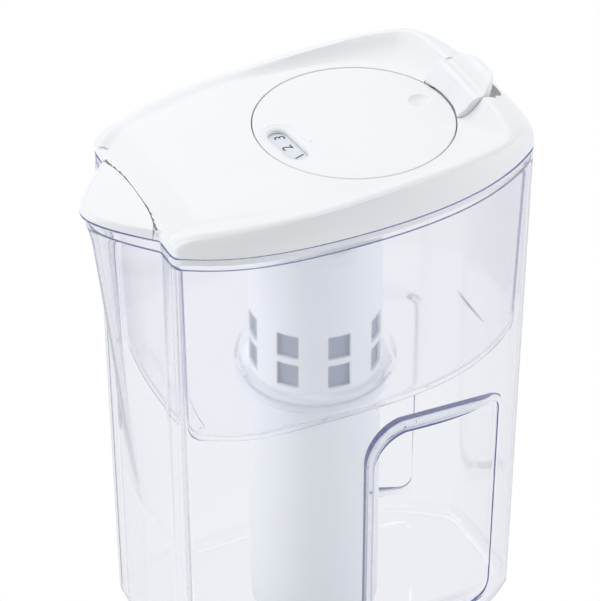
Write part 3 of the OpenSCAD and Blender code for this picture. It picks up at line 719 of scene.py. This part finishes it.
def ridge(d, lift, corner, side_front, side_rear, stern):
    """Half of a line round the lid, through the control points of its four Bezier stretches."""
    return np.vstack([lead_points(d, lift), bezier(*corner, CORNER_N),
                      bezier(*side_front, SIDE_FRONT_N), bezier(*side_rear, SIDE_REAR_N),
                      bezier(*stern, STERN_N), np.array([stern[3]], float)])


S = SIDE_HALF

# Outer edge of the ridge's top.
shoulder = (11.5 - FRONT, S - 13.6, FLAP_Z + 3.9)
widest = (-5, S - 2.8, DECK_Z + 0.6)
corner = (69.5, 48.5, CORNER_Z - 0.6)
ridge_out = ridge(
    1, -0.3,
    ((2 - FRONT, 36.5, FLAP_Z + 0.2), (2.5 - FRONT, 40, FLAP_Z + 1.3),
     (7 - FRONT, 42.6, FLAP_Z + 2.9), shoulder),
    (shoulder, (20 - FRONT, S - 9.3, DECK_Z - 3), (-30, S - 2.9, DECK_Z - 0.7), widest),
    (widest, (20, S - 2.7, DECK_Z + 2.9), (53, S - 1.9, CORNER_Z - 1), corner),
    (corner, (75, 45.8, CORNER_Z - 0.2), (77, 38, CREST_Z - 0.8), (77, 0, CREST_Z - 0.4)))

# Inner edge of the ridge's top.
shoulder = (14 - FRONT, S - 17, FLAP_Z + 4.8)
widest = (-5, S - 6.9, DECK_Z + 1.3)
corner = (66, 45.5, CORNER_Z)
crest = ridge(
    2.4, 0.1,
    ((4 - FRONT, 34.3, FLAP_Z + 0.6), (5 - FRONT, 37, FLAP_Z + 1.9),
     (9.5 - FRONT, 39, FLAP_Z + 3.9), shoulder),
    (shoulder, (22 - FRONT, S - 13.6, DECK_Z - 2.1), (-30, S - 6.9, DECK_Z - 0.1), widest),
    (widest, (20, S - 6.8, DECK_Z + 3.6), (50, S - 6, CORNER_Z - 0.4), corner),
    (corner, (71, 42.6, CORNER_Z + 0.4), (73.2, 36, CREST_Z - 0.4), (73, 0, CREST_Z)))

# Foot of the ridge's inner slope, where the deck begins.
shoulder = (16 - FRONT, 35, CREASE_Z)
widest = (-5, 45.5, DECK_Z)
corner = (55, 32, DECK_Z)
foot = ridge(
    3.4, 0.2,
    ((6 - FRONT, 32, FLAP_Z + 1.2), (9 - FRONT, 33.5, CREASE_Z - 2.6),
     (12 - FRONT, 34.2, CREASE_Z - 1.2), shoulder),
    (shoulder, (-40, 39.5, CREASE_Z + 1.5), (-22, 44.5, DECK_Z), widest),
    (widest, (15, 47, DECK_Z), (42, 44, DECK_Z), corner),
    (corner, (59.5, 26.5, DECK_Z), (64, 14, DECK_Z), (64, 0, DECK_Z)))

# The upright skirt is thin along the spout and full along the sides.
k = np.arange(len(foot))
rise = 0.25 + 0.6 * (k - NOSE_N) / (LEAD_N - NOSE_N + CORNER_N * 0.6)
skirt_h = SKIRT_H * np.where(k <= NOSE_N, 0.22, np.clip(rise, 0.22, 0.85))
skirt = np.column_stack([jug_half(REACH, 0.3), LID_Z + skirt_h])
edge = at_z(jug_half(REACH, 0), LID_Z)


def between(a, b, t, bulge):
    """The ring at t from 0 to 1 on the way from a to b, pushed up by bulge in the middle."""
    gap = np.linalg.norm(b - a, axis=1)
    lift = np.zeros_like(a)
    lift[:, 2] = bulge * 4 * t * (1 - t) * gap
    return a + (b - a) * t + lift


lid_rings = [edge, between(edge, skirt, 0.5, 0), skirt]
lid_rings += [between(skirt, ridge_out, t, 0.09) for t in (0.15, 0.3, 0.45, 0.6, 0.75, 0.88)]
lid_rings += [between(ridge_out, crest, t, 0.10) for t in (0.0, 0.25, 0.5, 0.75)]
lid_rings += [between(crest, foot, t, -0.06) for t in (0.0, 0.2, 0.4, 0.6, 0.8, 1.0)]


def lid_solid(name):
    """The lid's outer form with a finely divided deck."""
    rings = [full_loop(ring) for ring in lid_rings]
    n, m = len(rings[0]), len(rings)
    h, base = n // 2, (m - 1) * n
    verts = np.vstack(rings)
    faces = walls(n, m) + ruled_end(0, n)
    extra = []

    def across(i):
        """Indices of a row of points over the deck, from one side to the other."""
        a, b = base + i, base + n - i
        ids = [a]
        for j in range(1, DECK_N):
            ids.append(len(verts) + len(extra))
            extra.append(verts[a] + (verts[b] - verts[a]) * j / DECK_N)
        return ids + [b]

    last = across(1)
    faces += [(base, last[j], last[j + 1]) for j in range(DECK_N)]
    for i in range(2, h):
        now = across(i)
        faces += [(last[j], now[j], now[j + 1], last[j + 1]) for j in range(DECK_N)]
        last = now
    faces += [(last[j], base + h, last[j + 1]) for j in range(DECK_N)]
    return mesh_object(name, np.vstack([verts, np.array(extra)]), faces)


def behind_nose(ring):
    """Keeps the hollow out of the lid's nose."""
    ring = ring.copy()
    ring[:, 0] = np.maximum(ring[:, 0], HOLLOW_X + 0.001 * np.abs(ring[:, 1]))
    return ring


def under(ring, d, drop, low):
    """A ring moved inward by d and down by drop, but not below low."""
    loop = ring[:, :2]
    along = np.roll(loop, -1, 0) - np.roll(loop, 1, 0)
    along = along / np.linalg.norm(along, axis=1)[:, None]
    inward = d * np.column_stack([along[:, 1], -along[:, 0]])
    return np.column_stack([loop + inward, np.maximum(ring[:, 2] - drop, low)])


lid = lid_solid("lid_top")
skirt_in = jug_loop(FRONT_BOW, LID_WALL)
cut(lid, loft("hollow", [behind_nose(ring) for ring in (
    at_z(skirt_in, LID_Z - 1), at_z(skirt_in, LID_Z + SKIRT_H * 0.6),
    under(full_loop(crest), LID_WALL * 0.8, LID_WALL * 1.25, LID_Z + SKIRT_H * 0.7),
    under(full_loop(foot), 0.6, LID_WALL, LID_Z + SKIRT_H * 0.75))]))

# Sleeve, ledge and chamfer of the fill opening.
on_fill = (FILL_X, 0)
ledge_top = SLEEVE_Z + THROAT_LEDGE_T
cut(lid, lathe("sleeve", [(THROAT_R, SLEEVE_Z), (WELL_R + SLEEVE_T, SLEEVE_Z),
                          (WELL_R + SLEEVE_T, DECK_Z - 1), (THROAT_R, DECK_Z - 1)],
               on_fill, ROUND_N), "UNION")
cut(lid, lathe("well_cut", [(0, LID_Z - 2), (THROAT_R, LID_Z - 2), (THROAT_R, ledge_top),
                            (WELL_R, ledge_top), (WELL_R, DECK_Z - 0.4),
                            (WELL_R + 0.1, DECK_Z - 0.1), (WELL_R + 0.3, DECK_Z + 0.1),
                            (WELL_R + 0.3, DECK_Z + 12), (0, DECK_Z + 12)], on_fill, ROUND_N))

# Pocket behind the fill opening, cut out for the lever and its arm.
pocket_x = 57.3
pocket = prism_y("pocket", [
    (pocket_x, SLEEVE_Z - 0.1), (HINGE_X, SLEEVE_Z - 0.1),
    *circle_points(HINGE_X, HINGE_Z, SCOOP_R + SCOOP_WALL, -90, 90, 24),
    (HINGE_X, CREST_Z + 20), (pocket_x, CREST_Z + 20)], LEVER_HALF + LEVER_GAP + POCKET_WALL)
cut(pocket, lid_solid("whole_form"), "INTERSECT")
cut(lid, pocket, "UNION")
cut(lid, lever_sweep())
arm_x, arm_end_x = 56.5, HINGE_X - 6
cut(lid, prism_y("arm_room", [(arm_x, FRAME_Z), (arm_end_x, FRAME_Z), (arm_end_x, HINGE_Z),
                              (arm_x, HINGE_Z)], ARM_HALF + 0.6))
seat = prism_y("seat", seat_section(), LEVER_HALF + 2)
cut(seat, prism_z("seat_plan", lever_plan(0.3), HINGE_Z - 20, HINGE_Z + 30), "INTERSECT")
cut(lid, seat)

# Clears away what the pocket put back into the opening.
cut(lid, lathe("well_again", [(0, SLEEVE_Z + 2.05), (WELL_R - 0.02, SLEEVE_Z + 2.05),
                              (WELL_R - 0.02, DECK_Z + 13), (0, DECK_Z + 13)], on_fill, ROUND_N))


def flap_plan(grow):
    """The flap seen from above. Its rear edge bows towards the deck."""
    shut = 3.6 - FRONT
    last = vec(-FRONT - 0.6 + grow, SPOUT_HALF - 2.6 + grow)
    rear = bezier((shut + grow, 0), (shut + grow, 13),
                  (shut - 1.3 + grow, SPOUT_HALF - 7 + grow), last, 24)
    half = [tuple(p) for p in rear]
    half += [tuple(last), tuple(last + vec(-4, 5)), (-FRONT - REACH - 5, SPOUT_HALF + 6)]
    return half + [(x, -y) for x, y in half[:0:-1]]


cut(lid, prism_z("flap_gap", flap_plan(FLAP_GAP_HALF), LID_Z - 2, LID_Z + 20))
for half, r in FLAP_SWING:
    cut(lid, prism_y("swing", circle_points(PIN_X, PIN_Z, r), half))
cut(lid, prism_y("swing_lip", circle_points(PIN_X, PIN_Z, 2.25, 55, 125, 12)
                 + circle_points(PIN_X, PIN_Z, 1.6, 125, 55, 12), FLAP_SWING[-1][0]))
settle(lid, 30)
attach(lid, "lid")
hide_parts("lid_shell")
paint(lid, LID_WHITE)

# ---- spout flap ----
flap = lid_solid("flap_top")
cut(flap, prism_z("flap_keep", flap_plan(-FLAP_GAP_HALF), LID_Z - 2, LID_Z + 20), "INTERSECT")
cut(flap, prism_y("flap_under", [(PIN_X, LID_Z - 2), (PIN_X + 10, LID_Z - 2),
                                 (PIN_X + 10, FLAP_Z - FLAP_SKIN),
                                 (PIN_X, FLAP_Z - FLAP_SKIN)], 40))
cut(flap, prism_y("flap_barrel", circle_points(PIN_X, PIN_Z, BARREL_R), BARREL_HALF), "UNION")
cut(flap, prism_y("flap_bore", circle_points(PIN_X, PIN_Z, FLAP_BORE_R), SPOUT_HALF))
settle(flap, 30)
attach(flap, "flap")
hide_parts("spout_flap")
paint(flap, LID_WHITE)

# ---- thumb lever ----
lever = prism_y("lever_top", lever_curve, LEVER_HALF + 0.25)
cut(lever, prism_z("lever_plan", lever_plan(0.0), HINGE_Z - 20, HINGE_Z + 20), "INTERSECT")
cut(lever, lathe("dial_room", [(0, DECK_Z - 1), (WELL_R, DECK_Z - 1), (WELL_R, DECK_Z + 0.6),
                               (WELL_R + 1.8, DECK_Z + 4), (WELL_R + 3.8, DECK_Z + 7.2),
                               (WELL_R + 4.4, LEVER_TOP + 1), (0, LEVER_TOP + 1)],
                 on_fill, ROUND_N))
cut(lever, prism_y("lever_bore", circle_points(HINGE_X, HINGE_Z, HINGE_PIN_R + 0.3),
                   LEVER_HALF + 2))

# Remade from small even faces, so that smoothing rounds its edges off.
remesh = lever.modifiers.new("even", "REMESH")
remesh.mode = "VOXEL"
remesh.voxel_size = 0.3 * MM
rounding = lever.modifiers.new("soft", "SMOOTH")
rounding.factor = 0.5
rounding.iterations = 6
apply_modifiers(lever)
lever.data.shade_smooth()
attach(lever, "flip_lid")
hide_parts("thumb_lever")
paint(lever, LID_WHITE)


# ---- dial ----
def stadium(centre, length, width, turn, z):
    """A ring with two straight sides and two round ends."""
    pts = []
    for side in (1, -1):
        for a in np.linspace(0, math.pi, STADIUM_N):
            u = width / 2 * math.cos(a) * side
            v = (length / 2 + width / 2 * math.sin(a)) * side
            pts.append((centre[0] + u * math.cos(turn) - v * math.sin(turn),
                        centre[1] + u * math.sin(turn) + v * math.cos(turn), z))
    return np.array(pts)


def around_dial(r, angle):
    return FILL_X + r * math.cos(angle), r * math.sin(angle)


rim = [(DIAL_R - 0.5 * (1 - math.cos(a)), DECK_Z - 0.5 + 0.5 * math.sin(a))
       for a in np.linspace(0, math.pi / 2, 6)]
dial = lathe("dial_top", [(0, DIAL_Z), (DIAL_R, DIAL_Z), *rim, (0, DECK_Z)], on_fill, ROUND_N)
cut(dial, lathe("stud", [(0, FRAME_Z - 3), (STUD_R, FRAME_Z - 3), (STUD_R, DIAL_Z + 0.5),
                         (0, DIAL_Z + 0.5)], on_fill, 48), "UNION")

# The window's edge is scooped out: how much wider it is at each depth under the dial's face.
scoop = [(2.9 * (1 - math.sin(a)), 0.1 + 1.25 * (1 - math.cos(a)))
         for a in np.linspace(0, math.pi / 2, 8)]
levels = [(0, DIAL_Z - 1), *((wider, DECK_Z - deep) for wider, deep in scoop[::-1]),
          (scoop[0][0], DECK_Z + 3)]
centre = around_dial(WINDOW_AT, math.pi + DIAL_TURN)
cut(dial, stack("window", [stadium(centre, WINDOW_LEN, WINDOW_W + 2 * wider, DIAL_TURN, z)
                           for wider, z in levels]))

ball_r = (DIMPLE_R**2 + DIMPLE_DEPTH**2) / (2 * DIMPLE_DEPTH)
bowl = [(ball_r * math.sin(a), DECK_Z - DIMPLE_DEPTH + ball_r * (1 - math.cos(a)))
        for a in np.linspace(0, 0.6, 14)]
cut(dial, lathe("dimple", [*bowl, (0, bowl[-1][1])], around_dial(WINDOW_AT, DIAL_TURN), 64))
cut(dial, lathe("dot", [(0, DECK_Z - 0.3), (0.75, DECK_Z - 0.3), (0.7, DECK_Z + 0.1),
                        (0.45, DECK_Z + 0.28), (0, DECK_Z + 0.33)],
                around_dial(DOT_AT, math.pi + 2.2 * DIAL_TURN), 24), "UNION")
settle(dial, 40)
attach(dial, "dial")
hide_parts("dial_disc")
paint(dial, LID_WHITE)

# ---- numbers printed on the plate under the dial ----
INK = satin("number_ink", (0.03, 0.035, 0.06), 0.5)
NUMBER_PLACES = 24
NUMBER_R = 30.9
NUMBER_SIZE = 6.4
NUMBER_T = 0.04
FIRST_DEG, STEP_DEG = 200.7, 14.6
PRINT_LIFT = 0.05


def number_mesh(text):
    curve = bpy.data.curves.new("month", "FONT")
    curve.body = text
    curve.align_x, curve.align_y = "CENTER", "CENTER"
    curve.size = NUMBER_SIZE * MM
    curve.extrude = NUMBER_T * MM
    curve.resolution_u = 3
    shape = bpy.data.objects.new("month", curve)
    bpy.context.scene.collection.objects.link(shape)
    mesh = bpy.data.meshes.new_from_object(
        shape.evaluated_get(bpy.context.evaluated_depsgraph_get()))
    bpy.data.objects.remove(shape)
    return mesh


for place in range(NUMBER_PLACES):
    angle = math.radians(FIRST_DEG - STEP_DEG * place)
    digit = bpy.data.objects.new("number_%02d" % (place + 1), number_mesh(str(place % 12 + 1)))
    bpy.context.scene.collection.objects.link(digit)
    at = around_dial(NUMBER_R, angle)
    digit.location = (at[0] * MM, at[1] * MM, (PLATE_TOP + PRINT_LIFT) * MM)
    digit.rotation_euler = (0, 0, angle - math.pi / 2)
    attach(digit, "flip_lid")
    paint(digit, INK)

# ---- carried-over CAD nodes ----
nodes = frame["nodes"]
by_slot = {
    "clear_shell": CLEAR,
    "frosted_hopper": HAZY,
    "lid_white": LID_WHITE,
    "number_white": NUMBER_WHITE,
    "hinge_pin": PIN_WHITE,
    "filter_white": FILTER_WHITE,
    "filter_screen": satin("filter_screen", (0.43, 0.46, 0.54), 0.6),
    "seal": satin("seal", (0.80, 0.82, 0.86), 0.55),
    "carbon": satin("carbon", (0.02, 0.02, 0.022), 0.7, 900.0, 0.6),
    "fiber": satin("fiber", (0.70, 0.68, 0.60), 0.6, 1500.0, 0.3),
    "resin": satin("resin", (0.50, 0.42, 0.24), 0.25),
}
for part in frame["record"]["subparts"]:
    ob = nodes[part["node"]]
    paint(ob, by_slot[part["material_slot"]])
    if not ob.hide_render:
        smooth(ob, 30)

# ---- floor, world, lights ----
bpy.ops.mesh.primitive_plane_add(size=6, location=(0, 0, 0))
floor = bpy.context.object
floor.name = "floor"

WHITE = (1, 1, 1, 1)
DARK = (0.45, 0.48, 0.66, 1)
FILL_COLOUR = (0.93, 0.96, 1.0, 1)
FILL = 0.6
# Level directions along and across the photograph's view.
BEHIND = (0.414, 0.910, 0.0)
BESIDE = (0.910, -0.414, 0.0)
UP = (0.0, 0.0, 1.0)


def seen_ray(nt):
    """1 for what gloss and clear plastic show to the camera."""
    path = node(nt, "LightPath").outputs
    either = math_node(nt, "MAXIMUM", path["Is Glossy Ray"], path["Is Transmission Ray"])
    return math_node(nt, "MULTIPLY", either, math_node(nt, "LESS_THAN", path["Diffuse Depth"], 0.5))


def fade(nt, value, low, high):
    """From 0 at low to 1 at high."""
    n = node(nt, "MapRange", From_Min=low, From_Max=high, Value=value)
    n.interpolation_type = "SMOOTHSTEP"
    return n.outputs["Result"]


def along(nt, where, axis):
    n = node(nt, "VectorMath")
    n.operation = "DOT_PRODUCT"
    feed(nt, where, n.inputs[0])
    feed(nt, axis, n.inputs[1])
    return n.outputs["Value"]


def studio(nt, where, behind, beside, above=None):
    """White behind the jug, before it and above it, darker at its sides."""
    white = fade(nt, math_node(nt, "ABSOLUTE", along(nt, where, BEHIND)), *behind)
    side = math_node(nt, "ABSOLUTE", along(nt, where, BESIDE))
    white = math_node(nt, "MULTIPLY", white, fade(nt, side, beside[1], beside[0]))
    if above:
        white = math_node(nt, "MAXIMUM", white, fade(nt, along(nt, where, UP), *above))
    colour = node(nt, "Mix")
    colour.data_type = "RGBA"
    feed(nt, DARK, colour.inputs["A"])
    feed(nt, WHITE, colour.inputs["B"])
    feed(nt, white, colour.inputs["Factor"])
    return colour.outputs["Result"]


def by_ray(nt, lit, seen, page):
    """lit for scattered light, seen in gloss and clear plastic, page behind the object."""
    camera_ray = node(nt, "LightPath").outputs["Is Camera Ray"]
    rest = mix_shader(nt, seen_ray(nt), lit.outputs[0], seen.outputs[0])
    return mix_shader(nt, camera_ray, rest, page.outputs[0])


mat, nt, diffuse = principled("floor_white", (0.9, 0.9, 0.9), 0.9)
room = node(nt, "Emission", Color=studio(nt, position(nt), (-2.0, -1.9), (0.5, 0.9)))
page = node(nt, "Emission", Color=WHITE)
nt.links.new(by_ray(nt, diffuse, room, page), nt.nodes["Material Output"].inputs["Surface"])
paint(floor, mat)

world = bpy.data.worlds.new("studio")
bpy.context.scene.world = world
world.use_nodes = True
nt = world.node_tree
fill = nt.nodes["Background"]
fill.inputs["Color"].default_value = FILL_COLOUR
fill.inputs["Strength"].default_value = FILL
direction = node(nt, "TexCoord").outputs["Generated"]
room = node(nt, "Background", Color=studio(nt, direction, (0.0, 0.4), (0.5, 0.9), (0.2, 0.5)))
page = node(nt, "Background", Color=WHITE, Strength=1.0)
nt.links.new(by_ray(nt, fill, room, page), nt.nodes["World Output"].inputs["Surface"])


def softbox(name, place, aim, size, watts):
    """A rectangular lamp. Its places are in metres."""
    light = bpy.data.lights.new(name, "AREA")
    light.shape = "RECTANGLE"
    light.size, light.size_y = size
    light.energy = watts
    ob = bpy.data.objects.new(name, light)
    bpy.context.scene.collection.objects.link(ob)
    ob.location = place
    ob.rotation_mode = "QUATERNION"
    ob.rotation_quaternion = (Vector(aim) - Vector(place)).to_track_quat("-Z", "Y")


softbox("top_box", (0.25, 0.6, 1.05), (0.0, 0, 0.2), (0.9, 0.7), 4.3)
softbox("front_box", (-0.35, -1.0, 0.12), (0.0, 0, 0.15), (0.6, 0.5), 1.0)
softbox("left_box", (-0.8, 0.3, 0.55), (0.0, 0, 0.2), (0.5, 0.7), 3.6)
softbox("right_box", (0.9, -0.45, 0.45), (0.05, 0, 0.2), (0.6, 0.7), 3.0)

# ---- camera ----
# The middle of the dial's face is seen at AIM_PX, and its radius is DIAL_PX pixels long.
FOCAL_PX = 3200.0
SENSOR = 36.0
WIDTH_PX, HEIGHT_PX = 600, 601
AIM = vec(FILL_X, 0, DECK_Z)
AIM_PX = (354.2, 121.6)
DIAL_PX = 102.2
AZIMUTH, ELEVATION = math.radians(-24.5), math.radians(36.0)
DISTANCE = FOCAL_PX * DIAL_R / DIAL_PX
right = vec(math.cos(AZIMUTH), math.sin(AZIMUTH), 0)
back = vec(math.sin(AZIMUTH) * math.cos(ELEVATION), -math.cos(AZIMUTH) * math.cos(ELEVATION),
           math.sin(ELEVATION))
up = np.cross(back, right)
off = ((AIM_PX[0] - WIDTH_PX / 2) / FOCAL_PX, (AIM_PX[1] - HEIGHT_PX / 2) / FOCAL_PX)
place = AIM - DISTANCE * (-back + right * off[0] - up * off[1])
camera_data = bpy.data.cameras.new("camera")
camera_data.sensor_width = SENSOR
camera_data.lens = SENSOR * FOCAL_PX / HEIGHT_PX
camera_data.clip_start, camera_data.clip_end = 0.1, 10
camera = bpy.data.objects.new("camera", camera_data)
bpy.context.scene.collection.objects.link(camera)
camera.matrix_world = Matrix([(right[i], up[i], back[i], place[i] * MM) for i in range(3)]
                             + [(0, 0, 0, 1)])
bpy.context.scene.camera = camera
bpy.context.scene.view_settings.view_transform = "Standard"
